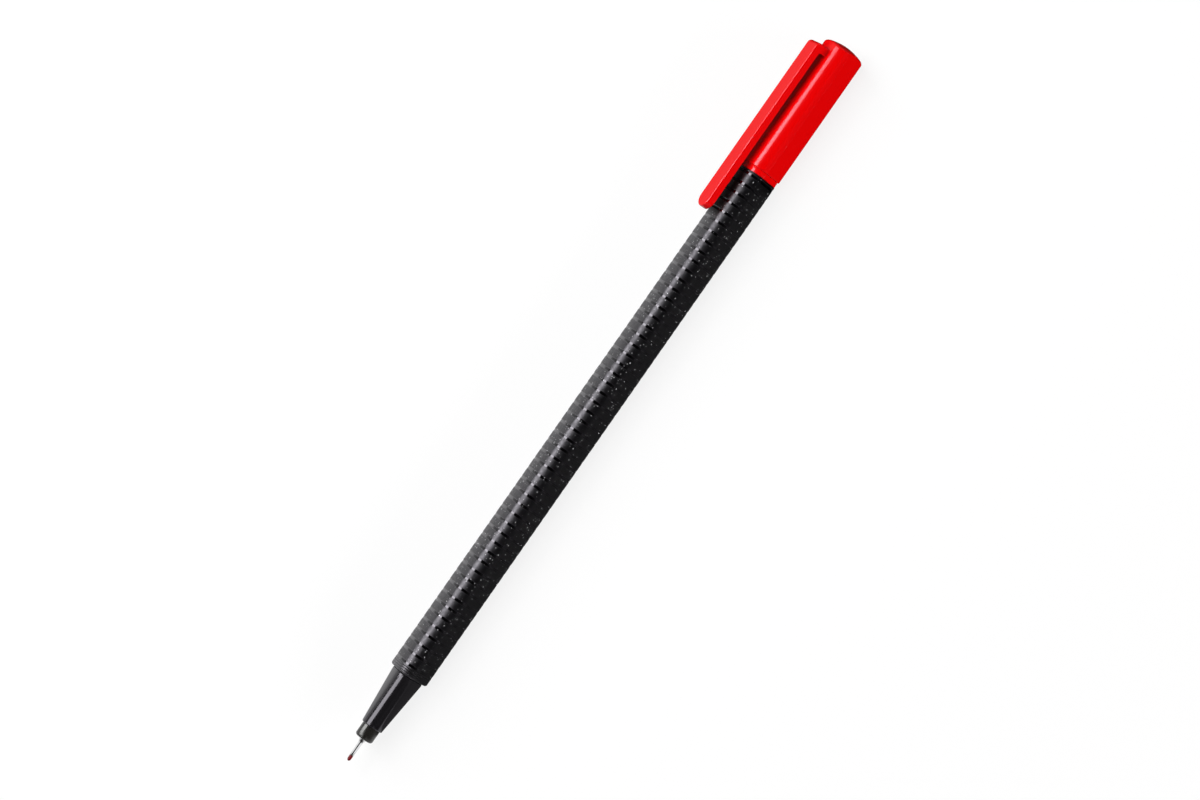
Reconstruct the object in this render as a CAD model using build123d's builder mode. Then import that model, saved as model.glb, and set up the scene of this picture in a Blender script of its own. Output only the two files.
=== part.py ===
from build123d import *
import os
from math import cos, radians, sin, sqrt

# Fineliner pen with a rounded triangular barrel and its clip cap pushed onto the back end.
# The origin is the writing tip, on the pen's axis. +X runs from the tip to the cap, and +Z is up:
# the pen lies on one flat of its triangle, with a rounded ridge on top and the clip on the +Y side.
# All sizes are in millimetres. An inradius is the distance from the axis to a flat.

# Lengths that follow each other along the pen, from the writing tip to the top of the cap
nib_exposed = 1.2
tube_exposed = 2.4
flare_length = 1.5
ring_length = 2.9
nose_length = 12.25
barrel_length = 118.3
collar_length = 1.15
cap_length = 29.2

# Barrel
barrel_inradius = 3.42
barrel_corner_radius = 2.4
barrel_wall = 0.85
barrel_rim_radius = 0.5
bore_corner_radius = 2.0

# Front section: the nose, and the insert that sits in the barrel
nose_front_radius = 2.21
nose_front_round_share = 0.96
nose_corner_radius = 2.05
nose_edge_radius = 0.12
nose_insert_length = 10.0
nose_insert_wall = 0.8
nose_insert_bore_depth = 8.0
nib_passage_gap = 0.2

# Nib holder
ring_radius = 1.925
ring_edge_radius = 0.55
holder_spigot_radius = 1.5
holder_spigot_length = 7.0

# Metal sleeve round the nib
tube_radius = 0.45
sleeve_foot_radius = 0.84
sleeve_wall = 0.06
sleeve_grip_length = 8.0

# Fibre nib
nib_tip_length = 0.55
nib_shoulder_length = 0.8
nib_rod_radius = 0.68
nib_point_length = 1.2
nib_dip = 6.0

# Ink reservoir and its film
film_thickness = 0.08
reservoir_end_play = 0.3

# End plug: insert in the barrel, collar, and the stub that the cap is pushed onto
collar_inset = 0.08
plug_insert_length = 9.0
plug_wall = 0.8
plug_land_length = 1.6
plug_groove_depth = 0.15
plug_groove_count = 2
stub_length = 11.2
stub_edge_radius = 0.5

# Cap and its inner seal
cap_proud = 0.19
cap_wall = 0.75
cap_end_wall = 1.2
cap_dome_rise = 1.0
cap_edge_radius = 0.4
cap_rim_radius = 0.15
seal_setback = 0.2
seal_lead_in = 0.4
seal_web = 1.0
seal_skirt_wall = 0.8
seal_skirt_length = 4.1

# Pocket clip
clip_length = 39.0
clip_width = 4.5
clip_thickness = 1.5
clip_gap = 1.5
clip_setback = 2.55
clip_root_length = 1.65
clip_slit_radius = 0.4
clip_heel_radius = 0.9
clip_edge_radius = 0.2
clip_face_angle = 30.0

# Fits, each the gap on one side, and the overrun of every cut
press_gap = 0.01
insert_gap = 0.02
nib_gap = 0.015
film_gap = 0.01
reservoir_gap = 0.05
cap_gap = 0.05
seal_gap = 0.03
root_gap = 0.02
overrun = 1.0

# Stations along the axis
x_sleeve = nib_exposed
x_flare = x_sleeve + tube_exposed
x_holder = x_flare + flare_length
x_nose = x_holder + ring_length
x_barrel = x_nose + nose_length
x_collar = x_barrel + barrel_length
x_rim = x_collar + collar_length
x_top = x_rim + cap_length
x_reservoir = x_barrel + nose_insert_length + reservoir_end_play
x_plug = x_collar - plug_insert_length
x_reservoir_end = x_plug - reservoir_end_play

# Sections that fit in each other: barrel bore, inserts, cap, cap bore and what the cap seats on
bore_inradius = barrel_inradius - barrel_wall
insert_inradius = bore_inradius - insert_gap
insert_corner_radius = bore_corner_radius - insert_gap
cap_inradius = barrel_inradius + cap_proud
cap_corner_radius = barrel_corner_radius + cap_proud
cap_bore_inradius = cap_inradius - cap_wall
cap_bore_corner_radius = cap_corner_radius - cap_wall
seat_inradius = cap_bore_inradius - cap_gap
seat_corner_radius = cap_bore_corner_radius - cap_gap
nib_radius = tube_radius - sleeve_wall - nib_gap


def across(x):
    """The plane across the pen at x, with its own axes along Y and Z."""
    return Plane.YZ.offset(x)


def rounded_triangle(inradius, corner_radius):
    """Draw a rounded triangle, one corner up, in the sketch that is open."""
    RegularPolygon(inradius, 3, major_radius=False, rotation=90)
    fillet(vertices(), corner_radius)


# Barrel: a plain triangular tube, with a rounded front rim
with BuildPart() as barrel:
    with BuildSketch(across(x_barrel)):
        rounded_triangle(barrel_inradius, barrel_corner_radius)
    extrude(amount=barrel_length)
    fillet(barrel.faces().sort_by(Axis.X)[0].edges(), barrel_rim_radius)
    with BuildSketch(across(x_barrel - overrun)):
        rounded_triangle(bore_inradius, bore_corner_radius)
    extrude(amount=barrel_length + 2 * overrun, mode=Mode.SUBTRACT)

# Front section: nose from nearly round to the triangle that the cap seats on, then the insert
nib_passage_radius = nib_rod_radius + nib_passage_gap
with BuildPart() as front_section:
    with BuildSketch(across(x_nose)):
        rounded_triangle(nose_front_radius, nose_front_radius * nose_front_round_share)
    with BuildSketch(across(x_barrel)):
        rounded_triangle(seat_inradius, nose_corner_radius)
    loft()
    fillet(front_section.faces().sort_by(Axis.X)[0].edges(), nose_edge_radius)
    with BuildSketch(across(x_barrel)):
        rounded_triangle(insert_inradius, insert_corner_radius)
    extrude(amount=nose_insert_length)
    with BuildSketch(across(x_nose - overrun)):
        Circle(holder_spigot_radius + press_gap)
    extrude(amount=overrun + holder_spigot_length + press_gap, mode=Mode.SUBTRACT)
    with BuildSketch(across(x_nose)):
        Circle(nib_passage_radius)
    extrude(amount=nose_length + nose_insert_length + overrun, mode=Mode.SUBTRACT)
    with BuildSketch(across(x_barrel + nose_insert_length)):
        Circle(insert_inradius - nose_insert_wall)
    extrude(amount=-nose_insert_bore_depth, mode=Mode.SUBTRACT)

# Nib holder: a stepped bush, its ring in front of the nose and its spigot pressed into it
x_spigot_end = x_nose + holder_spigot_length
holder_bore_radius = sleeve_foot_radius + press_gap
with BuildPart() as nib_holder:
    with BuildSketch(Plane.XZ):
        with BuildLine():
            Polyline(
                (x_holder, holder_bore_radius),
                (x_holder, ring_radius),
                (x_nose, ring_radius),
                (x_nose, holder_spigot_radius),
                (x_spigot_end, holder_spigot_radius),
                (x_spigot_end, holder_bore_radius),
                close=True,
            )
        make_face()
    revolve(axis=Axis.X)
    front_edges = nib_holder.edges().filter_by(GeomType.CIRCLE).group_by(Axis.X)[0]
    fillet(front_edges.sort_by(SortBy.RADIUS)[-1], ring_edge_radius)

# Metal sleeve: a drawn steel tube that flares into the foot held by the nib holder
x_foot_end = x_holder + sleeve_grip_length
tube_bore_radius = tube_radius - sleeve_wall
foot_bore_radius = sleeve_foot_radius - sleeve_wall
with BuildPart() as nib_sleeve:
    with BuildSketch(Plane.XZ):
        with BuildLine():
            Line((x_sleeve, tube_bore_radius), (x_sleeve, tube_radius))
            Line((x_sleeve, tube_radius), (x_flare, tube_radius))
            TangentArc((x_flare, tube_radius), (x_holder, sleeve_foot_radius), tangent=(1, 0))
            Line((x_holder, sleeve_foot_radius), (x_foot_end, sleeve_foot_radius))
            Line((x_foot_end, sleeve_foot_radius), (x_foot_end, foot_bore_radius))
            Line((x_foot_end, foot_bore_radius), (x_holder, foot_bore_radius))
            TangentArc((x_flare, tube_bore_radius), (x_holder, foot_bore_radius), tangent=(1, 0))
            Line((x_flare, tube_bore_radius), (x_sleeve, tube_bore_radius))
        make_face()
    revolve(axis=Axis.X)

# Fibre nib: rounded tip, shoulder inside the sleeve's foot, and a rod into the reservoir
x_nib_end = x_reservoir + nib_dip
with BuildPart() as fibre_nib:
    with BuildSketch(Plane.XZ):
        with BuildLine():
            EllipticalCenterArc((nib_tip_length, 0), nib_tip_length, nib_radius, start_angle=90, arc_size=90)
            Polyline(
                (nib_tip_length, nib_radius),
                (x_holder, nib_radius),
                (x_holder + nib_shoulder_length, nib_rod_radius),
                (x_nib_end - nib_point_length, nib_rod_radius),
                (x_nib_end, nib_radius),
                (x_nib_end, 0),
                (0, 0),
            )
        make_face()
    revolve(axis=Axis.X)

# Ink reservoir: a bonded fibre rod with a hole that takes the nib
film_radius = bore_inradius - reservoir_gap
reservoir_radius = film_radius - film_thickness - film_gap
x_nib_hole_end = x_nib_end + film_gap
with BuildPart() as ink_reservoir:
    with BuildSketch(Plane.XZ):
        with BuildLine():
            Polyline(
                (x_reservoir, nib_rod_radius + film_gap),
                (x_reservoir, reservoir_radius),
                (x_reservoir_end, reservoir_radius),
                (x_reservoir_end, 0),
                (x_nib_hole_end, 0),
                (x_nib_hole_end, nib_rod_radius + film_gap),
                close=True,
            )
        make_face()
    revolve(axis=Axis.X)

# Reservoir wrap: the film sleeve round the fibre rod
with BuildPart() as reservoir_wrap:
    with BuildSketch(across(x_reservoir)):
        Circle(film_radius)
        Circle(film_radius - film_thickness, mode=Mode.SUBTRACT)
    extrude(amount=x_reservoir_end - x_reservoir)

# End plug: hollow moulding with a grooved insert, a collar that shows, and the posting stub
plug_groove_pitch = plug_insert_length / (plug_groove_count + 1)
plug_groove_length = plug_groove_pitch - plug_land_length
plug_length = plug_insert_length + collar_length + stub_length
with BuildPart() as end_plug:
    with BuildSketch(across(x_plug)):
        rounded_triangle(insert_inradius - plug_groove_depth, insert_corner_radius - plug_groove_depth)
    extrude(amount=plug_insert_length)
    for land in range(plug_groove_count + 1):
        with BuildSketch(across(x_plug + land * plug_groove_pitch + plug_groove_length)):
            rounded_triangle(insert_inradius, insert_corner_radius)
    extrude(amount=plug_land_length)
    with BuildSketch(across(x_collar)):
        rounded_triangle(barrel_inradius - collar_inset, barrel_corner_radius - collar_inset)
    extrude(amount=collar_length)
    with BuildSketch(across(x_rim)):
        rounded_triangle(seat_inradius, seat_corner_radius)
    extrude(amount=stub_length)
    fillet(end_plug.faces().sort_by(Axis.X)[-1].edges(), stub_edge_radius)
    with BuildSketch(across(x_plug - overrun)):
        Circle(insert_inradius - plug_groove_depth - plug_wall)
    extrude(amount=overrun + plug_length - plug_wall, mode=Mode.SUBTRACT)

# Cap shell: triangular cup with a shallow dome on its closed end
cap_corner_reach = 2 * cap_inradius - cap_corner_radius
dome_radius = (cap_corner_reach**2 + cap_dome_rise**2) / (2 * cap_dome_rise)
dome_reach = cap_corner_reach + overrun
x_dome_edge = x_top - dome_radius + sqrt(dome_radius**2 - dome_reach**2)
x_cavity_end = x_top - cap_dome_rise - cap_end_wall
with BuildPart() as cap_shell:
    with BuildSketch(across(x_rim)):
        rounded_triangle(cap_inradius, cap_corner_radius)
    extrude(amount=cap_length)
    with BuildSketch(Plane.XZ):
        with BuildLine():
            Polyline(
                (x_top, 0),
                (x_rim - overrun, 0),
                (x_rim - overrun, dome_reach),
                (x_dome_edge, dome_reach),
            )
            TangentArc((x_top, 0), (x_dome_edge, dome_reach), tangent=(0, 1))
        make_face()
    revolve(axis=Axis.X, mode=Mode.INTERSECT)
    fillet(cap_shell.faces().sort_by(Axis.X)[-1].edges(), cap_edge_radius)
    with BuildSketch(across(x_rim - overrun)):
        rounded_triangle(cap_bore_inradius, cap_bore_corner_radius)
    extrude(amount=x_cavity_end - x_rim + overrun, mode=Mode.SUBTRACT)
    fillet(cap_shell.faces().sort_by(Axis.X)[0].edges(), cap_rim_radius)

# Inner cap: the seal that closes round the nib holder's ring when the cap is on the tip.
# Its skirt stands on the cap's end wall, and its web closes the room in front of the nib.
seal_radius = ring_radius + seal_gap
inner_cap_radius = cap_bore_inradius - insert_gap
x_seal_mouth = x_rim + nose_length + seal_setback
x_skirt = x_cavity_end - seal_skirt_length
x_seal_web = x_skirt - seal_web
with BuildPart() as inner_cap:
    with BuildSketch(Plane.XZ):
        with BuildLine():
            Polyline(
                (x_seal_mouth, seal_radius),
                (x_seal_mouth, inner_cap_radius),
                (x_cavity_end, inner_cap_radius),
                (x_cavity_end, inner_cap_radius - seal_skirt_wall),
                (x_skirt, inner_cap_radius - seal_skirt_wall),
                (x_skirt, 0),
                (x_seal_web, 0),
                (x_seal_web, seal_radius),
                close=True,
            )
        make_face()
    revolve(axis=Axis.X)
    mouth_edges = inner_cap.edges().filter_by(GeomType.CIRCLE).group_by(Axis.X)[0]
    chamfer(mouth_edges.sort_by(SortBy.RADIUS)[0], seal_lead_in)

# Pocket clip: a flat tongue with a round free end, standing on its root near the cap's top
x_clip_end = x_top - clip_setback
x_clip_tip = x_clip_end - clip_length
x_clip_round = x_clip_tip + clip_width / 2
x_root = x_clip_end - clip_root_length
clip_underside = cap_inradius + clip_gap
face_normal = (0, cos(radians(clip_face_angle)), sin(radians(clip_face_angle)))
clip_face = Plane(origin=(0, 0, 0), x_dir=(1, 0, 0), z_dir=face_normal)
with BuildPart() as cap_clip:
    with BuildSketch(clip_face.offset(clip_underside)):
        with BuildLine():
            Line((x_clip_round, -clip_width / 2), (x_clip_end, -clip_width / 2))
            Line((x_clip_end, -clip_width / 2), (x_clip_end, clip_width / 2))
            Line((x_clip_end, clip_width / 2), (x_clip_round, clip_width / 2))
            ThreePointArc((x_clip_round, clip_width / 2), (x_clip_tip, 0), (x_clip_round, -clip_width / 2))
        make_face()
    extrude(amount=clip_thickness)
    with BuildSketch(clip_face.offset(cap_inradius + root_gap)):
        with Locations(((x_root + x_clip_end) / 2, 0)):
            Rectangle(clip_root_length, clip_width)
    extrude(amount=clip_gap - root_gap)
    level = Axis((0, 0, 0), face_normal)
    cross_edges = cap_clip.edges().filter_by(Axis((0, 0, 0), clip_face.y_dir))
    slit_end = cross_edges.group_by(Axis.X)[0].sort_by(level)[-1]
    heel = cross_edges.group_by(Axis.X)[-1].sort_by(level)[-1]
    fillet(slit_end, clip_slit_radius)
    fillet(heel, clip_heel_radius)
    fillet(cap_clip.faces().sort_by(level)[-1].edges(), clip_edge_radius)

os.makedirs("parts", exist_ok=True)

barrel.part.label = "barrel"
export_step(barrel.part, "parts/barrel.step")
front_section.part.label = "front_section"
export_step(front_section.part, "parts/front_section.step")
nib_holder.part.label = "nib_holder"
export_step(nib_holder.part, "parts/nib_holder.step")
nib_sleeve.part.label = "nib_sleeve"
export_step(nib_sleeve.part, "parts/nib_sleeve.step")
fibre_nib.part.label = "fibre_nib"
export_step(fibre_nib.part, "parts/fibre_nib.step")
ink_reservoir.part.label = "ink_reservoir"
export_step(ink_reservoir.part, "parts/ink_reservoir.step")
reservoir_wrap.part.label = "reservoir_wrap"
export_step(reservoir_wrap.part, "parts/reservoir_wrap.step")
end_plug.part.label = "end_plug"
export_step(end_plug.part, "parts/end_plug.step")
cap_shell.part.label = "cap_shell"
export_step(cap_shell.part, "parts/cap_shell.step")
inner_cap.part.label = "inner_cap"
export_step(inner_cap.part, "parts/inner_cap.step")
cap_clip.part.label = "cap_clip"
export_step(cap_clip.part, "parts/cap_clip.step")
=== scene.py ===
from math import cos, radians, sin, sqrt

import bmesh
import bpy
from mathutils import Matrix, Vector


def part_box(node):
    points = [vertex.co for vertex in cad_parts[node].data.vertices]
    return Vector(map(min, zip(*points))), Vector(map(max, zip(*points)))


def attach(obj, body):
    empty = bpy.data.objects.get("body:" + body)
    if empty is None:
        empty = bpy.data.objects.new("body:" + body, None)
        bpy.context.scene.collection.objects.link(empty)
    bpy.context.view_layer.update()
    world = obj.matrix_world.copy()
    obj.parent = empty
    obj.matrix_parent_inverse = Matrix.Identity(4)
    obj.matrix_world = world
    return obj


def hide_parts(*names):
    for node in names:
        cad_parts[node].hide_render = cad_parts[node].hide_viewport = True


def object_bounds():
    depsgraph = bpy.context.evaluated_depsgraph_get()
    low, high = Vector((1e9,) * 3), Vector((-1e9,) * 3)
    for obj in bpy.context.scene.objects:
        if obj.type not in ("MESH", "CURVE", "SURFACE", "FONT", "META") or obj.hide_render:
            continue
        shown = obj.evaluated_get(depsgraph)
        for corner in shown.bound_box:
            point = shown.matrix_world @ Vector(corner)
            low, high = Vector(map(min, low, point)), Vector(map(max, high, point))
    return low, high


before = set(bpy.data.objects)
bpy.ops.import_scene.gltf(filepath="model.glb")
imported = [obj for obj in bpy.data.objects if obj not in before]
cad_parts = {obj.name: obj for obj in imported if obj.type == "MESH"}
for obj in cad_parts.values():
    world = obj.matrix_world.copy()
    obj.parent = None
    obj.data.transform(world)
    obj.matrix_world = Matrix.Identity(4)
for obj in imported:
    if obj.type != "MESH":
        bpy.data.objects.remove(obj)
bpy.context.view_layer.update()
mm = 0.001

# Barrel: a black tube with the section of a rounded triangle, moulded from plastic with pale flecks in
# it. Shallow polished bands cross its matt skin from end to end, and three fine lines run round the
# front rim. The nose and the end plug are pressed into its two open ends.
barrel_low, barrel_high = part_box("barrel")
barrel_inradius = -barrel_low.z
barrel_wall = 0.85 * mm
bore_corner_reach = 3.14 * mm
barrel_rim_radius = 0.5 * mm
barrel_end_radius = 0.08 * mm
rim_line_count = 3
rim_line_first = 0.58 * mm
rim_line_pitch = 0.45 * mm
rim_line_width = 0.14 * mm
rim_line_depth = 0.04 * mm
band_count = 53
band_first = 2.1 * mm
band_pitch = 2.22 * mm
band_width = 0.57 * mm
band_wall = 0.05 * mm
band_depth = 0.035 * mm
corner_turns = radians(90), radians(210), radians(330)
side_turn = radians(60)
side_crown = radians(5)
join_turn = side_turn - side_crown
ring_steps = 96
sharp_angle = radians(28)
merge_distance = 0.0001 * mm


def crowned_corner(inradius, corner_reach):
    """The corner radius of a triangle with crowned sides, from its distances to a side and to a corner."""
    side_share = (cos(join_turn) - cos(side_turn)) / (sin(side_turn) - sin(join_turn))
    excess = inradius * (cos(side_turn) + side_share * sin(side_turn)) - corner_reach
    return excess / (side_share * sin(join_turn) - 1 + cos(join_turn))


def triangle_ring(bm, x, inradius, corner_radius):
    """Draw a crowned triangle across the pen, a corner up: a circle whose corners and sides move apart."""
    side_radius = inradius * sin(side_turn) - corner_radius * sin(join_turn)
    side_radius /= sin(side_turn) - sin(join_turn)
    corner_out = (inradius - side_radius) * cos(side_turn) + (side_radius - corner_radius) * cos(join_turn)
    half_step = Matrix.Rotation(radians(180 / ring_steps), 4, "X")
    across = Matrix.Translation((x, 0, 0)) @ half_step @ Matrix.Rotation(radians(90), 4, "Y")
    circle = bmesh.ops.create_circle(bm, segments=ring_steps, radius=corner_radius, matrix=across)["verts"]
    swell = side_radius / corner_radius
    corners = [Vector((0, cos(turn), sin(turn))) for turn in corner_turns]
    sides = [[v for v in circle if v.co.dot(-c) > corner_radius * cos(side_crown)] for c in corners]
    rounds = [[v for v in circle if v.co.dot(c) > corner_radius * cos(join_turn)] for c in corners]
    for corner, side, round_part in zip(corners, sides, rounds):
        bmesh.ops.scale(bm, verts=side, vec=(1, swell, swell))
        bmesh.ops.translate(bm, verts=side, vec=corner * (side_radius - inradius))
        bmesh.ops.translate(bm, verts=round_part, vec=corner * corner_out)
    return list(dict.fromkeys(e for v in circle for e in v.link_edges))


def skin(bm, *rings, finish=0):
    """Stretch faces from each ring to the next, in one of the piece's finishes, and return them."""
    faces = []
    for one, other in zip(rings, rings[1:]):
        faces += bmesh.ops.bridge_loops(bm, edges=one + other)["faces"]
    for face in faces:
        face.material_index = finish
    return faces


def round_over(bm, edges, radius, segments):
    """Round a run of edges."""
    bmesh.ops.bevel(bm, geom=edges, offset=radius, offset_type="OFFSET", affect="EDGES",
                    segments=segments, profile=0.5, material=-1)


def make_piece(bm, name, *finishes):
    """Turn a finished mesh into an object, smooth but for its real edges, with its finishes."""
    bmesh.ops.remove_doubles(bm, verts=bm.verts, dist=merge_distance)
    bmesh.ops.recalc_face_normals(bm, faces=bm.faces)
    for face in bm.faces:
        face.smooth = True
    for edge in bm.edges:
        edge.smooth = edge.calc_face_angle(0) < sharp_angle
    mesh = bpy.data.meshes.new(name)
    bm.to_mesh(mesh)
    bm.free()
    for finish in finishes:
        mesh.materials.append(finish)
    piece = bpy.data.objects.new(name, mesh)
    bpy.context.scene.collection.objects.link(piece)
    flat_faces_first = piece.modifiers.new("flat_faces_first", "WEIGHTED_NORMAL")
    flat_faces_first.keep_sharp = True
    return piece


def new_finish(name, colour, roughness):
    """Start a material, and return it with its node tree, its shader and its Object coordinates."""
    finish = bpy.data.materials.new(name)
    finish.use_nodes = True
    tree = finish.node_tree
    shader = tree.nodes["Principled BSDF"]
    shader.inputs["Base Color"].default_value = (*colour, 1)
    shader.inputs["Roughness"].default_value = roughness
    return finish, tree, shader, tree.nodes.new("ShaderNodeTexCoord").outputs["Object"]


def add_node(tree, kind, inputs, **settings):
    """Add a shader node, and link or set its inputs."""
    node = tree.nodes.new("ShaderNode" + kind)
    for name, value in settings.items():
        setattr(node, name, value)
    for key, value in inputs.items():
        if isinstance(value, bpy.types.NodeSocket):
            tree.links.new(value, node.inputs[key])
        else:
            node.inputs[key].default_value = value
    return node


patch_detail = 3
patch_noise_low = 0.3
patch_noise_high = 0.7


def vary_roughness(tree, shader, coords, size, low, high):
    """Let the gloss wander between two values over patches of the given size."""
    patches = add_node(tree, "TexNoise", {"Vector": coords, "Scale": 1 / size, "Detail": patch_detail})
    spread = add_node(tree, "MapRange", {
        "Value": patches.outputs["Fac"],
        "From Min": patch_noise_low,
        "From Max": patch_noise_high,
        "To Min": low,
        "To Max": high,
    })
    tree.links.new(spread.outputs["Result"], shader.inputs["Roughness"])


grain_detail = 2


def add_grain(tree, shader, coords, size, depth, strength):
    """Give the surface a fine grain by bump."""
    grain = add_node(tree, "TexNoise", {"Vector": coords, "Scale": 1 / size, "Detail": grain_detail})
    height = grain.outputs["Fac"]
    bump = add_node(tree, "Bump", {"Height": height, "Strength": strength, "Distance": depth})
    tree.links.new(bump.outputs["Normal"], shader.inputs["Normal"])


ripples_per_cell = 4
ripple_reach = 0.25
fleck_edge = 0.3
fleck_core = 0.15
fleck_fade = 1.5


def add_flecks(tree, shader, coords, colour, fleck_colour, cell, share):
    """Scatter flecks through a material: a share of the cells each hold one, most of them faint."""
    ripple = add_node(tree, "TexNoise", {"Vector": coords, "Scale": ripples_per_cell / cell})
    reach = (ripple_reach * cell,) * 3
    uneven = add_node(tree, "VectorMath", {0: ripple.outputs["Color"], 1: reach, 2: coords},
                      operation="MULTIPLY_ADD")
    cells = add_node(tree, "TexVoronoi", {"Vector": uneven.outputs[0], "Scale": 1 / cell})
    dot = add_node(tree, "MapRange", {
        "Value": cells.outputs["Distance"],
        "From Min": fleck_edge,
        "From Max": fleck_core,
    })
    pick = add_node(tree, "SeparateColor", {"Color": cells.outputs["Color"]})
    kept = add_node(tree, "Math", {0: pick.outputs["Red"], 1: share}, operation="LESS_THAN")
    faint = add_node(tree, "Math", {0: pick.outputs["Green"], 1: fleck_fade}, operation="POWER")
    tone = add_node(tree, "Math", {0: kept.outputs[0], 1: faint.outputs[0]}, operation="MULTIPLY")
    fleck = add_node(tree, "Math", {0: dot.outputs["Result"], 1: tone.outputs[0]}, operation="MULTIPLY")
    mix = add_node(tree, "Mix", {"Factor": fleck.outputs[0], 6: (*colour, 1), 7: (*fleck_colour, 1)},
                   data_type="RGBA")
    tree.links.new(mix.outputs[2], shader.inputs["Base Color"])


barrel_black = (0.0003, 0.0003, 0.0004)
fleck_grey = (0.6, 0.6, 0.62)
barrel_index = 1.6
black_gloss_tint = (0.95, 0.91, 1, 1)

barrel_matt, tree, shader, coords = new_finish("barrel_matt", barrel_black, roughness=0.4)
shader.inputs["IOR"].default_value = barrel_index
shader.inputs["Specular Tint"].default_value = black_gloss_tint
add_flecks(tree, shader, coords, barrel_black, fleck_grey, cell=0.45 * mm, share=0.32)
vary_roughness(tree, shader, coords, size=0.55 * mm, low=0.32, high=0.54)
add_grain(tree, shader, coords, size=0.25 * mm, depth=0.012 * mm, strength=0.8)

barrel_polished, tree, shader, coords = new_finish("barrel_polished", barrel_black, roughness=0.1)
shader.inputs["IOR"].default_value = barrel_index
shader.inputs["Specular Tint"].default_value = black_gloss_tint
add_flecks(tree, shader, coords, barrel_black, fleck_grey, cell=0.5 * mm, share=0.15)
vary_roughness(tree, shader, coords, size=0.4 * mm, low=0.08, high=0.13)

bm = bmesh.new()
barrel_corner = crowned_corner(barrel_inradius, barrel_high.z)
polished = 1


def barrel_ring(from_rim, depth=0):
    """A ring of the barrel's skin, a depth below it."""
    return triangle_ring(bm, barrel_low.x + from_rim, barrel_inradius - depth, barrel_corner - depth)


def band_after(start, middle):
    """The skin from a ring to the far edge of the band at middle: a matt pad, then the polished band."""
    edge, floor = band_width / 2, band_width / 2 - band_wall
    near, far = barrel_ring(middle - edge), barrel_ring(middle + edge)
    floor_near = barrel_ring(middle - floor, band_depth)
    floor_far = barrel_ring(middle + floor, band_depth)
    pad = skin(bm, start, near)
    band = skin(bm, near, floor_near, floor_far, far, finish=polished)
    return pad + band, far


bore_inradius = barrel_inradius - barrel_wall
bore_corner = crowned_corner(bore_inradius, bore_corner_reach)
bore_front = triangle_ring(bm, barrel_low.x, bore_inradius, bore_corner)
bore_back = triangle_ring(bm, barrel_high.x, bore_inradius, bore_corner)
front_rim = barrel_ring(0)
skin(bm, bore_back, bore_front, front_rim)
last = front_rim
for line in range(rim_line_count):
    middle = rim_line_first + line * rim_line_pitch
    near, far = barrel_ring(middle - rim_line_width / 2), barrel_ring(middle + rim_line_width / 2)
    skin(bm, last, near)
    skin(bm, near, barrel_ring(middle, rim_line_depth), far, finish=polished)
    last = far
last = band_after(last, band_first)[1]
repeat = band_after(last, band_first + band_pitch)[0]
for step in range(1, band_count - 1):
    copy = bmesh.ops.duplicate(bm, geom=repeat)["geom"]
    moved = [v for v in copy if isinstance(v, bmesh.types.BMVert)]
    bmesh.ops.translate(bm, verts=moved, vec=(step * band_pitch, 0, 0))
last_band = band_first + (band_count - 1) * band_pitch
back_rim = barrel_ring(barrel_high.x - barrel_low.x)
skin(bm, barrel_ring(last_band + band_width / 2), back_rim, bore_back)
round_over(bm, front_rim, barrel_rim_radius, segments=8)
round_over(bm, back_rim, barrel_end_radius, segments=2)
barrel = make_piece(bm, "barrel_skin", barrel_matt, barrel_polished)
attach(barrel, "pen_body")
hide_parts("barrel")

# Front section: a gloss black moulding. Its nose tapers from the barrel's triangle to nearly round, and
# its insert is pressed into the barrel, with a narrow seam left at the barrel's rim. A round bore through
# it takes the nib holder and the nib.
nose_low, nose_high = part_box("front_section")
nose_inradius = -nose_low.z
nose_corner = crowned_corner(nose_inradius, nose_high.z)
nose_front_radius = 2.21 * mm
nose_front_roundness = 0.96
nose_front_corner = nose_front_roundness * nose_front_radius
nose_edge_radius = 0.2 * mm
seam_length = 0.32 * mm
seam_depth = 0.14 * mm
seam_edge_radius = 0.08 * mm
insert_gap = 0.02 * mm
insert_inradius = bore_inradius - insert_gap
insert_corner = bore_corner - insert_gap
insert_wall = 0.8 * mm
insert_bore_radius = insert_inradius - insert_wall
insert_bore_depth = 8.0 * mm
spigot_bore_radius = 1.51 * mm
spigot_bore_depth = 7.01 * mm
nib_passage_radius = 0.88 * mm
nose_rings = 10

nose_black = (0.008, 0.0075, 0.0085)

gloss_black, tree, shader, coords = new_finish("gloss_black", nose_black, roughness=0.16)
shader.inputs["Specular Tint"].default_value = black_gloss_tint
vary_roughness(tree, shader, coords, size=1.2 * mm, low=0.13, high=0.2)
add_grain(tree, shader, coords, size=0.6 * mm, depth=0.004 * mm, strength=0.12)

bm = bmesh.new()


def round_ring(x, radius):
    """A round ring across the pen, with as many points as a triangular one."""
    return triangle_ring(bm, x, radius, radius)


nose = []
for step in range(nose_rings + 1):
    share = step / nose_rings
    nose.append(triangle_ring(
        bm,
        nose_low.x + share * (barrel_low.x - seam_length - nose_low.x),
        nose_front_radius + share * (nose_inradius - nose_front_radius),
        nose_front_corner + share * (nose_corner - nose_front_corner),
    ))
bore_mouth = round_ring(nose_low.x, spigot_bore_radius)
skin(
    bm,
    bore_mouth,
    *nose,
    triangle_ring(bm, barrel_low.x, nose_inradius - seam_depth, nose_corner - seam_depth),
    triangle_ring(bm, barrel_low.x, insert_inradius, insert_corner),
    triangle_ring(bm, nose_high.x, insert_inradius, insert_corner),
    round_ring(nose_high.x, insert_bore_radius),
    round_ring(nose_high.x - insert_bore_depth, insert_bore_radius),
    round_ring(nose_high.x - insert_bore_depth, nib_passage_radius),
    round_ring(nose_low.x + spigot_bore_depth, nib_passage_radius),
    round_ring(nose_low.x + spigot_bore_depth, spigot_bore_radius),
    bore_mouth,
)
round_over(bm, nose[0], nose_edge_radius, segments=4)
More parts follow.
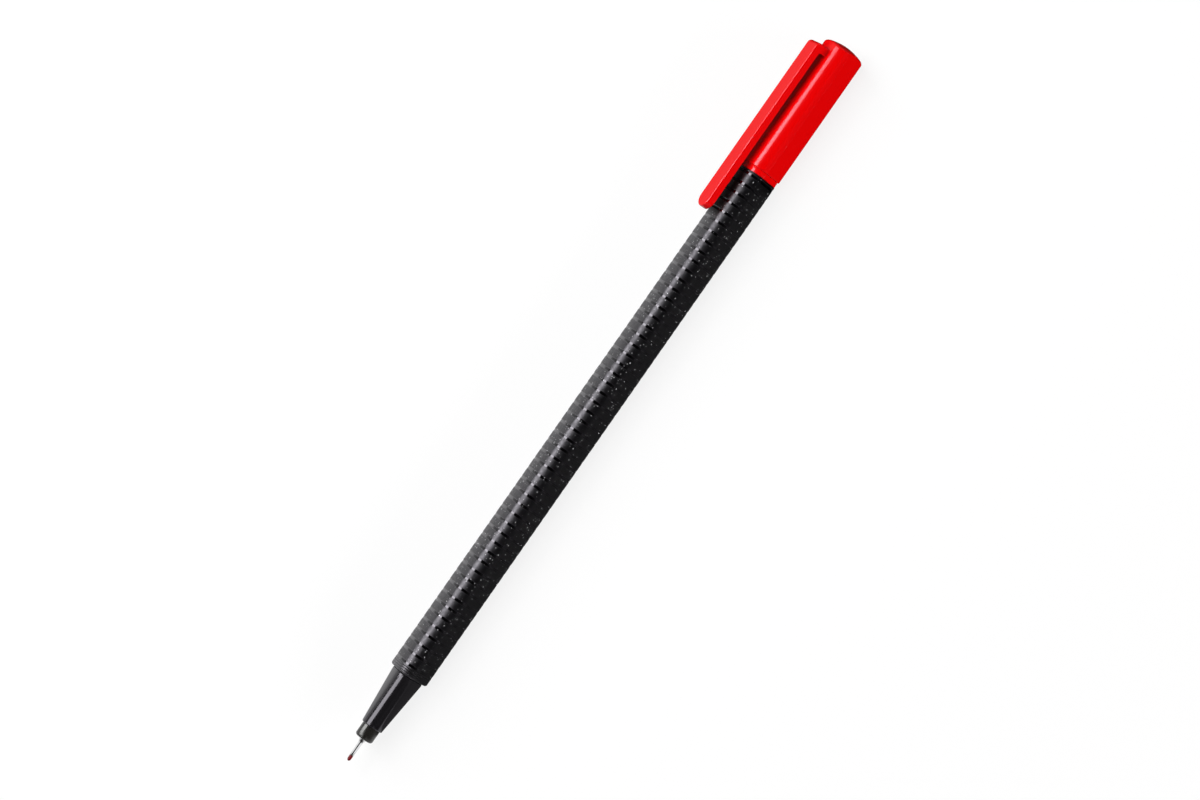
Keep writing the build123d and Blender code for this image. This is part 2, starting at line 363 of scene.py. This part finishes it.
round_over(bm, nose[-1], seam_edge_radius, segments=3)
front_section = make_piece(bm, "nose_moulding", gloss_black)
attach(front_section, "pen_body")
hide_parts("front_section")

# Nib holder: a small round bush, moulded from a slightly warmer black plastic. Its ring stands in front
# of the nose, and the spigot behind it is pressed into the nose's bore. It grips the metal sleeve.
holder_low, holder_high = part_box("nib_holder")
holder_radius = holder_high.z
holder_bore_radius = 0.85 * mm
holder_spigot_radius = 1.5 * mm
holder_edge_radius = 0.55 * mm
holder_step_radius = 0.06 * mm
turn_steps = 64
place_tolerance = 0.001 * mm

warm_black = (0.0125, 0.0115, 0.0105)

holder_black, tree, shader, coords = new_finish("holder_black", warm_black, roughness=0.2)
vary_roughness(tree, shader, coords, size=0.6 * mm, low=0.17, high=0.25)
add_grain(tree, shader, coords, size=0.3 * mm, depth=0.003 * mm, strength=0.12)


def turn_profile(bm, profile, closed):
    """Turn a profile, given as points along and out from the pen's axis, right round it."""
    points = [bm.verts.new((x, 0, radius)) for x, radius in profile]
    edges = [bm.edges.new(pair) for pair in zip(points, points[1:])]
    if closed:
        edges.append(bm.edges.new((points[-1], points[0])))
    bmesh.ops.spin(bm, geom=points + edges, cent=(0, 0, 0), axis=(1, 0, 0), angle=radians(360),
                   steps=turn_steps, use_merge=True)


def edges_at(bm, x, radius):
    """The edges of a turned piece's rim at a place along the pen and a radius."""
    rim = {v for v in bm.verts
           if abs(v.co.x - x) < place_tolerance and abs(v.co.yz.length - radius) < place_tolerance}
    return [e for e in bm.edges if rim.issuperset(e.verts)]


bm = bmesh.new()
turn_profile(bm, [
    (holder_low.x, holder_bore_radius),
    (holder_low.x, holder_radius),
    (nose_low.x, holder_radius),
    (nose_low.x, holder_spigot_radius),
    (holder_high.x, holder_spigot_radius),
    (holder_high.x, holder_bore_radius),
], closed=True)
round_over(bm, edges_at(bm, holder_low.x, holder_radius), holder_edge_radius, segments=8)
round_over(bm, edges_at(bm, nose_low.x, holder_radius), holder_step_radius, segments=3)
nib_holder = make_piece(bm, "nib_holder_bush", holder_black)
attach(nib_holder, "pen_body")
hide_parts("nib_holder")

# Metal sleeve: a thin drawn steel tube round the nib, bright, with fine lines along it. It flares into a
# wider foot that is pressed into the nib holder.
sleeve_low, sleeve_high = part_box("nib_sleeve")
tube_radius = 0.45 * mm
foot_radius = sleeve_high.z
sleeve_wall = 0.06 * mm
flare_start = 3.6 * mm
flare_steps = 10
tube_lip_radius = 0.025 * mm

drawn_steel = (0.76, 0.76, 0.77)


def along_pen(tree, coords, squeeze):
    """Coordinates squeezed along the pen, so that a pattern on them is drawn out into lines."""
    return add_node(tree, "Mapping", {"Vector": coords, "Scale": (squeeze, 1, 1)}).outputs["Vector"]


sleeve_steel, tree, shader, coords = new_finish("sleeve_steel", drawn_steel, roughness=0.16)
shader.inputs["Metallic"].default_value = 1
lines = along_pen(tree, coords, squeeze=0.05)
vary_roughness(tree, shader, lines, size=0.06 * mm, low=0.12, high=0.24)
add_grain(tree, shader, lines, size=0.04 * mm, depth=0.001 * mm, strength=0.2)


def flare(wall):
    """The flare's profile: an arc that leaves the tube straight and widens to the foot."""
    run, rise = holder_low.x - flare_start, foot_radius - tube_radius
    arc_radius = (run * run + rise * rise) / (2 * rise)
    points = []
    for step in range(flare_steps + 1):
        forward = run * step / flare_steps
        out = arc_radius - sqrt(arc_radius * arc_radius - forward * forward)
        points.append((flare_start + forward, tube_radius + out - wall))
    return points


bm = bmesh.new()
turn_profile(bm, [
    (sleeve_low.x, tube_radius - sleeve_wall),
    (sleeve_low.x, tube_radius),
    *flare(0),
    (sleeve_high.x, foot_radius),
    (sleeve_high.x, foot_radius - sleeve_wall),
    *reversed(flare(sleeve_wall)),
], closed=True)
round_over(bm, edges_at(bm, sleeve_low.x, tube_radius), tube_lip_radius, segments=3)
nib_sleeve = make_piece(bm, "steel_sleeve", sleeve_steel)
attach(nib_sleeve, "pen_body")
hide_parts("nib_sleeve")

# Fibre nib: bonded fibre soaked with red ink. A rounded tip shows in front of the sleeve, and its
# thicker rod runs back through the holder and the nose into the ink reservoir.
nib_low, nib_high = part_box("fibre_nib")
nib_radius = 0.375 * mm
nib_tip_length = 0.55 * mm
nib_tip_steps = 10
nib_rod_radius = nib_high.z
nib_shoulder_length = 0.8 * mm
nib_point_length = 1.2 * mm

fibre_red = (0.13, 0.002, 0.005)
fibre_strand_red = (0.32, 0.01, 0.015)
fibre_index = 1.35

inked_fibre, tree, shader, coords = new_finish("inked_fibre", fibre_red, roughness=0.55)
shader.inputs["IOR"].default_value = fibre_index
strands = along_pen(tree, coords, squeeze=0.12)
add_flecks(tree, shader, strands, fibre_red, fibre_strand_red, cell=0.04 * mm, share=0.5)
vary_roughness(tree, shader, strands, size=0.05 * mm, low=0.45, high=0.7)
add_grain(tree, shader, strands, size=0.03 * mm, depth=0.008 * mm, strength=0.5)

bm = bmesh.new()
tip_profile = []
for step in range(nib_tip_steps + 1):
    turn = radians(90 * step / nib_tip_steps)
    tip_profile.append((nib_low.x + nib_tip_length * (1 - cos(turn)), nib_radius * sin(turn)))
turn_profile(bm, [
    *tip_profile,
    (holder_low.x, nib_radius),
    (holder_low.x + nib_shoulder_length, nib_rod_radius),
    (nib_high.x - nib_point_length, nib_rod_radius),
    (nib_high.x, nib_radius),
    (nib_high.x, 0),
], closed=False)
fibre_nib = make_piece(bm, "red_nib", inked_fibre)
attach(fibre_nib, "pen_body")
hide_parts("fibre_nib")

# Ink reservoir and its film: a rod of bonded fibre that holds the ink, in a thin clear sleeve, shut in the
# barrel between the nose and the end plug. Their solids are right as they are and take a finish only.
core_red = (0.5, 0.02, 0.03)
core_strand_red = (0.75, 0.2, 0.2)
film_white = (0.9, 0.9, 0.9)
film_clearness = 0.8

ink_core, tree, shader, coords = new_finish("ink_core", core_red, roughness=0.8)
strands = along_pen(tree, coords, squeeze=0.1)
add_flecks(tree, shader, strands, core_red, core_strand_red, cell=0.15 * mm, share=0.5)
add_grain(tree, shader, strands, size=0.1 * mm, depth=0.03 * mm, strength=0.5)

clear_film, tree, shader, coords = new_finish("clear_film", film_white, roughness=0.2)
shader.inputs["Transmission Weight"].default_value = film_clearness
vary_roughness(tree, shader, coords, size=2 * mm, low=0.15, high=0.3)


def finish_solid(node, finish):
    """Give a finish to a solid that is shown as it is."""
    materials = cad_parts[node].data.materials
    materials.clear()
    materials.append(finish)


finish_solid("ink_reservoir", ink_core)
finish_solid("reservoir_wrap", clear_film)

# End plug: a hollow red moulding pressed into the back of the barrel. Its collar shows as a thin red ring,
# and the stub behind the collar is what the cap is pushed onto while the pen is in use.
plug_low, plug_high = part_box("end_plug")
collar_inradius = -plug_low.z
collar_corner = crowned_corner(collar_inradius, plug_high.z)
collar_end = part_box("cap_shell")[0].x
collar_edge_radius = 0.1 * mm
stub_inradius = 2.81 * mm
stub_corner_reach = 3.83 * mm
stub_corner = crowned_corner(stub_inradius, stub_corner_reach)
stub_edge_radius = 0.5 * mm
land_count = 3
land_length = 1.6 * mm
groove_depth = 0.15 * mm
plug_wall = 0.8 * mm
plug_end_wall = 0.8 * mm
plug_bore_radius = insert_inradius - groove_depth - plug_wall

cap_red = (0.72, 0.0006, 0.001)
red_index = 1.45
red_gloss_tint = (1, 0.85, 1, 1)

gloss_red, tree, shader, coords = new_finish("gloss_red", cap_red, roughness=0.2)
shader.inputs["IOR"].default_value = red_index
shader.inputs["Specular Tint"].default_value = red_gloss_tint
vary_roughness(tree, shader, coords, size=1.5 * mm, low=0.17, high=0.25)
add_grain(tree, shader, coords, size=0.5 * mm, depth=0.004 * mm, strength=0.12)

bm = bmesh.new()
insert_start, insert_end = plug_low.x, barrel_high.x
land_pitch = (insert_end - insert_start) / land_count
groove = []
for land in range(land_count):
    groove_start = insert_start + land * land_pitch
    land_start = groove_start + land_pitch - land_length
    groove += [
        triangle_ring(bm, groove_start, insert_inradius - groove_depth, insert_corner - groove_depth),
        triangle_ring(bm, land_start, insert_inradius - groove_depth, insert_corner - groove_depth),
        triangle_ring(bm, land_start, insert_inradius, insert_corner),
        triangle_ring(bm, groove_start + land_pitch, insert_inradius, insert_corner),
    ]
collar = [triangle_ring(bm, x, collar_inradius, collar_corner) for x in (insert_end, collar_end)]
stub = [triangle_ring(bm, x, stub_inradius, stub_corner) for x in (collar_end, plug_high.x)]
hollow_end = round_ring(plug_high.x - plug_end_wall, plug_bore_radius)
skin(bm, hollow_end, round_ring(insert_start, plug_bore_radius), *groove, *collar, *stub)
bmesh.ops.contextual_create(bm, geom=stub[-1])
bmesh.ops.contextual_create(bm, geom=hollow_end)
round_over(bm, collar[0] + collar[1], collar_edge_radius, segments=3)
round_over(bm, stub[-1], stub_edge_radius, segments=6)
end_plug = make_piece(bm, "end_plug_moulding", gloss_red)
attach(end_plug, "pen_body")
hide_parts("end_plug")

# Cap: a gloss red moulding, a triangular cup that stands a little proud of the barrel, closed by a shallow
# dome. Here it is pushed onto the end plug; it fits over the nose in the same way.
cap_low, cap_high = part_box("cap_shell")
cap_inradius = -cap_low.z
cap_corner = crowned_corner(cap_inradius, cap_high.z)
cap_wall = 0.75 * mm
cap_end_wall = 1.2 * mm
cap_dome_rise = 1.0 * mm
cap_edge_radius = 0.4 * mm
cap_rim_radius = 0.2 * mm
dome_shares = (1, 0.85, 0.7, 0.55, 0.4, 0.25, 0.1)
dome_radius = (cap_high.z**2 + cap_dome_rise**2) / (2 * cap_dome_rise)

bm = bmesh.new()
cap_bore = [
    triangle_ring(bm, x, cap_inradius - cap_wall, cap_corner - cap_wall)
    for x in (cap_high.x - cap_dome_rise - cap_end_wall, cap_low.x)
]
cap_rim = triangle_ring(bm, cap_low.x, cap_inradius, cap_corner)
dome = [triangle_ring(bm, cap_high.x, cap_inradius * share, cap_corner * share) for share in dome_shares]
for ring in dome:
    for v in dict.fromkeys(v for e in ring for v in e.verts):
        v.co.x += sqrt(dome_radius**2 - v.co.yz.length_squared) - dome_radius
skin(bm, *cap_bore, cap_rim, *dome)
bmesh.ops.contextual_create(bm, geom=dome[-1])
bmesh.ops.contextual_create(bm, geom=cap_bore[0])
round_over(bm, dome[0], cap_edge_radius, segments=6)
round_over(bm, cap_rim + cap_bore[1], cap_rim_radius, segments=3)
cap_shell = make_piece(bm, "cap_moulding", gloss_red)
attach(cap_shell, "cap")
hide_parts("cap_shell")

# Inner cap: the milky seal inside the cap, which closes round the nib holder's ring when the cap is on the
# tip. It shows only in the mouth of the cap, and its solid takes a finish.
milky_white = (0.82, 0.82, 0.79)
milkiness = 0.3
milky_depth = 1 * mm

milky_seal, tree, shader, coords = new_finish("milky_seal", milky_white, roughness=0.4)
shader.inputs["Subsurface Weight"].default_value = milkiness
shader.inputs["Subsurface Scale"].default_value = milky_depth
vary_roughness(tree, shader, coords, size=1 * mm, low=0.35, high=0.5)
add_grain(tree, shader, coords, size=0.3 * mm, depth=0.005 * mm, strength=0.2)
finish_solid("inner_cap", milky_seal)

# Pocket clip: a flat red tongue on the cap's left face, moulded with the cap at its root. Its round free
# end reaches over the barrel, with a slit under it for a pocket's edge or a page.
clip_low, clip_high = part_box("cap_clip")
clip_width = 4.5 * mm
clip_thickness = 1.5 * mm
clip_gap = 1.5 * mm
clip_root_length = 1.65 * mm
clip_root_sink = 0.06 * mm
clip_slit_radius = 0.4 * mm
clip_heel_radius = 0.9 * mm
clip_edge_radius = 0.28 * mm
clip_arris_radius = 0.07 * mm
clip_face_tilt = radians(-60)
clip_round_steps = 32
clip_flat_angle = radians(1)
clip_sharp_angle = radians(50)

bm = bmesh.new()
clip_round = clip_low.x + clip_width / 2
root_start = clip_high.x - clip_root_length
underside = cap_inradius + clip_gap
topside = underside + clip_thickness
upper_part = underside + clip_thickness / 3
first = bm.verts.new((clip_round, -clip_width / 2, underside))
bmesh.ops.spin(bm, geom=[first], cent=(clip_round, 0, underside), axis=(0, 0, 1), angle=radians(-180),
               steps=clip_round_steps)
bm.verts.ensure_lookup_table()
bm.faces.new(bm.verts)
end_edge = bm.edges.get((bm.verts[0], bm.verts[-1]))


def move_new(geom, vec):
    """Move what an extrusion has just made."""
    bmesh.ops.translate(bm, verts=[v for v in geom if isinstance(v, bmesh.types.BMVert)], vec=vec)


for length in (root_start - clip_round, clip_root_length):
    longer = bmesh.ops.extrude_edge_only(bm, edges=[end_edge])["geom"]
    move_new(longer, (length, 0, 0))
    end_edge = [e for e in longer if isinstance(e, bmesh.types.BMEdge)][0]
root_face = max(bm.faces, key=lambda face: face.calc_center_median().x)
upper = bmesh.ops.extrude_face_region(bm, geom=bm.faces[:])["geom"]
move_new(upper, (0, 0, clip_thickness))
foot = bmesh.ops.extrude_face_region(bm, geom=[root_face, *root_face.edges])["geom"]
move_new(foot, (0, 0, -clip_gap - clip_root_sink))
bmesh.ops.recalc_face_normals(bm, faces=bm.faces)
bmesh.ops.dissolve_limit(bm, angle_limit=clip_flat_angle, verts=bm.verts, edges=bm.edges)


def cross_edge(x, height):
    """The clip's edge across its width at a place along the pen and a height from the axis."""
    ends = {v for v in bm.verts
            if abs(v.co.x - x) < place_tolerance and abs(v.co.z - height) < place_tolerance}
    return [e for e in bm.edges if ends.issuperset(e.verts)]


def sharp_edges_above(height):
    """The clip's sharp edges that reach above a height."""
    return [e for e in bm.edges
            if e.calc_face_angle(0) > clip_sharp_angle and any(v.co.z > height for v in e.verts)]


round_over(bm, cross_edge(root_start, underside), clip_slit_radius, segments=5)
round_over(bm, cross_edge(clip_high.x, topside), clip_heel_radius, segments=8)
round_over(bm, sharp_edges_above(upper_part), clip_edge_radius, segments=4)
round_over(bm, sharp_edges_above(cap_inradius), clip_arris_radius, segments=2)
bmesh.ops.rotate(bm, verts=bm.verts, cent=(0, 0, 0), matrix=Matrix.Rotation(clip_face_tilt, 3, "X"))
cap_clip = make_piece(bm, "clip_tongue", gloss_red)
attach(cap_clip, "clip")
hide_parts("cap_clip")

# Studio: a white floor that shows brighter than it bounces and keeps a soft shadow, in a nearly dark
# world. Strips, end panels and cards show only in the pen's gloss, and lamps only light its surfaces. The
# two strips that draw the bright line down the ridge stay off the steel sleeve.
scene = bpy.context.scene
scene.view_settings.view_transform = "Standard"
floor_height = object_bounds()[0].z
floor_half = 3.0
floor_roughness = 0.9
floor_specular = 0.1
floor_glow_share = 0.84
floor_shown = (0.93, 0.93, 0.93)
floor_bounce = (0.05, 0.05, 0.05)
world_strength = 0.006

floor_white, tree, shader, coords = new_finish("floor_white", floor_shown, floor_roughness)
shader.inputs["Specular IOR Level"].default_value = floor_specular
rays = add_node(tree, "LightPath", {}).outputs
gloss = add_node(tree, "Math", {0: rays["Is Glossy Ray"], 1: rays["Is Transmission Ray"]},
                 operation="MAXIMUM")
seen = add_node(tree, "Math", {0: rays["Is Camera Ray"], 1: gloss.outputs[0]}, operation="MAXIMUM")
paint = add_node(tree, "Mix", {"Factor": seen.outputs[0], 6: (*floor_bounce, 1), 7: (*floor_shown, 1)},
                 data_type="RGBA")
tree.links.new(paint.outputs[2], shader.inputs["Base Color"])
glow = add_node(tree, "Emission", {"Color": (1, 1, 1, 1), "Strength": 1})
glow_share = add_node(tree, "Math", {0: seen.outputs[0], 1: floor_glow_share}, operation="MULTIPLY")
lit = add_node(tree, "MixShader", {0: glow_share.outputs[0], 1: shader.outputs[0], 2: glow.outputs[0]})
tree.links.new(lit.outputs[0], tree.nodes["Material Output"].inputs["Surface"])

bm = bmesh.new()
floor_place = Matrix.Translation((0, 0, floor_height))
bmesh.ops.create_grid(bm, x_segments=1, y_segments=1, size=floor_half, matrix=floor_place)
floor = make_piece(bm, "floor", floor_white)

world = bpy.data.worlds.new("studio")
world.use_nodes = True
background = world.node_tree.nodes["Background"]
background.inputs["Color"].default_value = (1, 1, 1, 1)
background.inputs["Strength"].default_value = world_strength
scene.world = world

card_lift = 0.05 * mm


def gloss_card(name, glow, x_range, near_y, far_y, far_rise=0):
    """A card beside the pen that shows only in its gloss, with a brightness of its own, 1 for white."""
    card_bm = bmesh.new()
    height = floor_height + card_lift
    near = [card_bm.verts.new((x, near_y, height)) for x in x_range]
    far = [card_bm.verts.new((x, far_y, height + far_rise)) for x in reversed(x_range)]
    card_bm.faces.new(near + far)
    finish, tree, shader, coords = new_finish(name, (0, 0, 0), roughness=1)
    shader.inputs["Specular IOR Level"].default_value = 0
    shader.inputs["Emission Color"].default_value = (1, 1, 1, 1)
    shader.inputs["Emission Strength"].default_value = glow
    finish.cycles.emission_sampling = "NONE"
    card = make_piece(card_bm, name, finish)
    card.visible_camera = card.visible_diffuse = card.visible_shadow = False


tip_range = (-1.5 * mm, 4 * mm)
cards_start = 7 * mm
clip_start = 128 * mm
cap_start = 137 * mm
cap_end = 170 * mm
cards_end = 300 * mm
right_foot = 3.5 * mm
right_near = 16 * mm
right_edge = 25 * mm
left_foot = 6.5 * mm
left_edge = 11.5 * mm
slit_foot = 4.2 * mm
slit_edge = 13 * mm
far_side = 400 * mm
far_side_rise = 0.2 * far_side

gloss_card("right_tip_card", glow=1, x_range=tip_range, near_y=-16 * mm, far_y=-4 * mm, far_rise=15 * mm)
gloss_card("left_tip_card", glow=1, x_range=tip_range, near_y=16 * mm, far_y=5 * mm, far_rise=12 * mm)
gloss_card("right_near_card", glow=0.11, x_range=(cards_start, cap_start),
           near_y=-right_foot, far_y=-right_near)
gloss_card("right_middle_card", glow=0.09, x_range=(cards_start, cap_start),
           near_y=-right_near, far_y=-right_edge)
gloss_card("right_far_card", glow=0.2, x_range=(cards_start, cap_start),
           near_y=-right_edge, far_y=-far_side, far_rise=far_side_rise)
gloss_card("right_cap_card", glow=0.005, x_range=(cap_start, cards_end),
           near_y=-right_foot, far_y=-far_side)
gloss_card("left_near_card", glow=1.25, x_range=(cards_start, clip_start),
           near_y=left_foot, far_y=left_edge)
gloss_card("left_far_card", glow=0.5, x_range=(cards_start, clip_start),
           near_y=left_edge, far_y=far_side)
gloss_card("left_slit_card", glow=0.02, x_range=(clip_start, cards_end),
           near_y=slit_foot, far_y=slit_edge)
gloss_card("left_clip_card", glow=0.35, x_range=(clip_start, cards_end),
           near_y=slit_edge, far_y=far_side)
gloss_card("cap_end_card", glow=0.02, x_range=(cap_end, cards_end),
           near_y=-slit_foot, far_y=slit_foot)


def soft_box(name, along, from_zenith, distance, length, width, power, in_gloss, lean=0):
    """An area light turned towards the pen, which shows in gloss or else lights surfaces.

    It stands over a place along the pen, its angle from the zenith is positive on the clip's side, and it
    leans from there towards the cap.
    """
    light = bpy.data.lights.new(name, "AREA")
    light.shape = "RECTANGLE"
    light.size, light.size_y = length, width
    light.energy = power
    light.cycles.use_multiple_importance_sampling = in_gloss
    lamp = bpy.data.objects.new(name, light)
    away = Vector((0, sin(radians(from_zenith)), cos(radians(from_zenith))))
    away = away * cos(radians(lean)) + Vector((sin(radians(lean)), 0, 0))
    lamp.location = Vector((along, 0, 0)) + away * distance
    lamp.rotation_mode = "QUATERNION"
    lamp.rotation_quaternion = away.to_track_quat("Z", "Y")
    lamp.visible_glossy = in_gloss
    lamp.visible_diffuse = not in_gloss
    scene.collection.objects.link(lamp)
    return lamp


ridge_strip = soft_box("ridge_strip", along=0.079, from_zenith=61, distance=0.5,
                       length=0.278, width=0.36, power=3.0, in_gloss=True)
nose_strip = soft_box("nose_strip", along=-0.28, from_zenith=45, distance=0.5,
                      length=0.44, width=0.36, power=3.74, in_gloss=True)
soft_box("right_strip", along=0.045, from_zenith=-76, distance=0.5,
         length=0.22, width=0.24, power=0.04, in_gloss=True)
soft_box("right_sheen", along=0.085, from_zenith=-48, distance=0.5,
         length=0.45, width=0.24, power=0.02, in_gloss=True)
soft_box("front_panel", along=0.085, from_zenith=0, distance=0.9,
         length=2.0, width=0.4, power=1.0, in_gloss=True, lean=-74)
soft_box("back_panel", along=0.085, from_zenith=0, distance=0.9,
         length=2.0, width=0.4, power=1.0, in_gloss=True, lean=74)
soft_box("key", along=0.17, from_zenith=57, distance=0.5,
         length=0.34, width=0.34, power=2.3, in_gloss=False)
soft_box("overhead", along=0.085, from_zenith=32, distance=0.8,
         length=0.9, width=0.5, power=5.0, in_gloss=False)
soft_box("fill", along=0.085, from_zenith=-78, distance=0.6,
         length=0.9, width=0.24, power=5.0, in_gloss=False)

off_the_sleeve = bpy.data.collections.new("off_the_sleeve")
off_the_sleeve.objects.link(nib_sleeve)
off_the_sleeve.collection_objects[0].light_linking.link_state = "EXCLUDE"
for strip in (ridge_strip, nose_strip):
    strip.light_linking.receiver_collection = off_the_sleeve

# Camera: as in the photograph, nearly straight above the pen, a few degrees round from the ridge to the
# side without the clip, and rolled so that the pen slants up to the right.
pen_middle = Vector((0.0854, 0, 0))
view_width = 0.233
camera_distance = 0.95
camera_round = radians(4.5)
pen_slant = radians(55.04)

towards = Vector((0, -sin(camera_round), cos(camera_round)))
aside = towards.cross(Vector((1, 0, 0))).normalized()
onward = aside.cross(towards)
right = onward * cos(pen_slant) - aside * sin(pen_slant)
up = onward * sin(pen_slant) + aside * cos(pen_slant)
lens = bpy.data.cameras.new("camera")
lens.lens = lens.sensor_width * camera_distance / view_width
camera = bpy.data.objects.new("camera", lens)
turned = Matrix((right, up, towards)).transposed().to_4x4()
camera.matrix_world = Matrix.Translation(pen_middle + towards * camera_distance) @ turned
scene.collection.objects.link(camera)
scene.camera = camera
